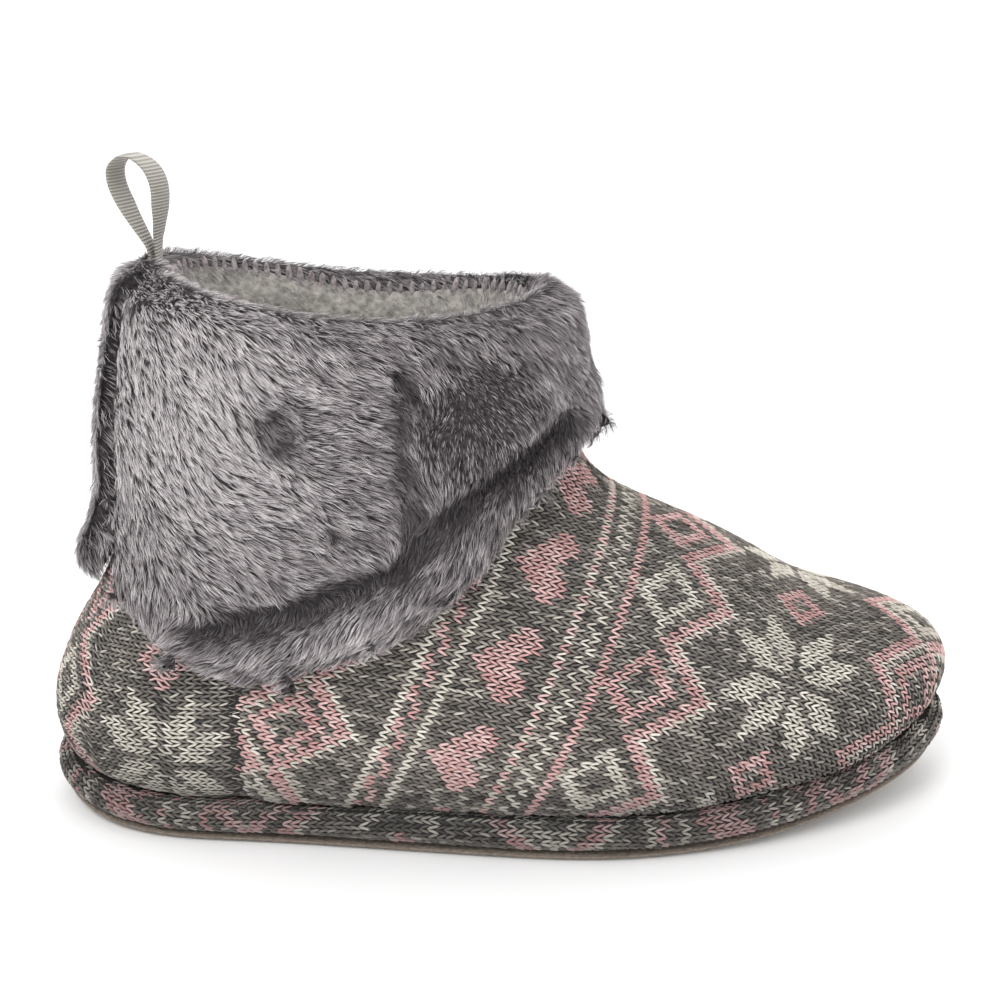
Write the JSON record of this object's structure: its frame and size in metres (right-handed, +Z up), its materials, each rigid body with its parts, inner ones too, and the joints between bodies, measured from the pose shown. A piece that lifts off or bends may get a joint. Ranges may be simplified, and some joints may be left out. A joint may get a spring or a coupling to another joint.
{
  "type": "bootie slipper",
  "caption": "Padded knit bootie slipper for the right foot, with a folded faux fur cuff, a knit wrapped midsole, a thin flexible outsole and a ribbon pull loop.",
  "frame": {"origin": "on the floor, under the middle of the sole's length and on the heel's middle line", "axes": "+X towards the toe, +Y towards the inner side of the right foot, +Z up"},
  "size_m": [0.2546, 0.1095, 0.1789],
  "materials": {
    "outsole": "matt, finely pebbled taupe sole rubber",
    "knit": "charcoal marl jersey knit with a pink and cream banded pattern",
    "fleece": "short grey green fleece",
    "fur": "grey mauve faux fur with pale tips",
    "ribbon": "grey beige ribbed ribbon"
  },
  "bodies": {
    "root": {"outsole": "outsole", "midsole": "knit", "insole": "fleece", "upper": "knit", "cuff": "fur", "pull_loop": "ribbon"}
  },
  "joints": []
}
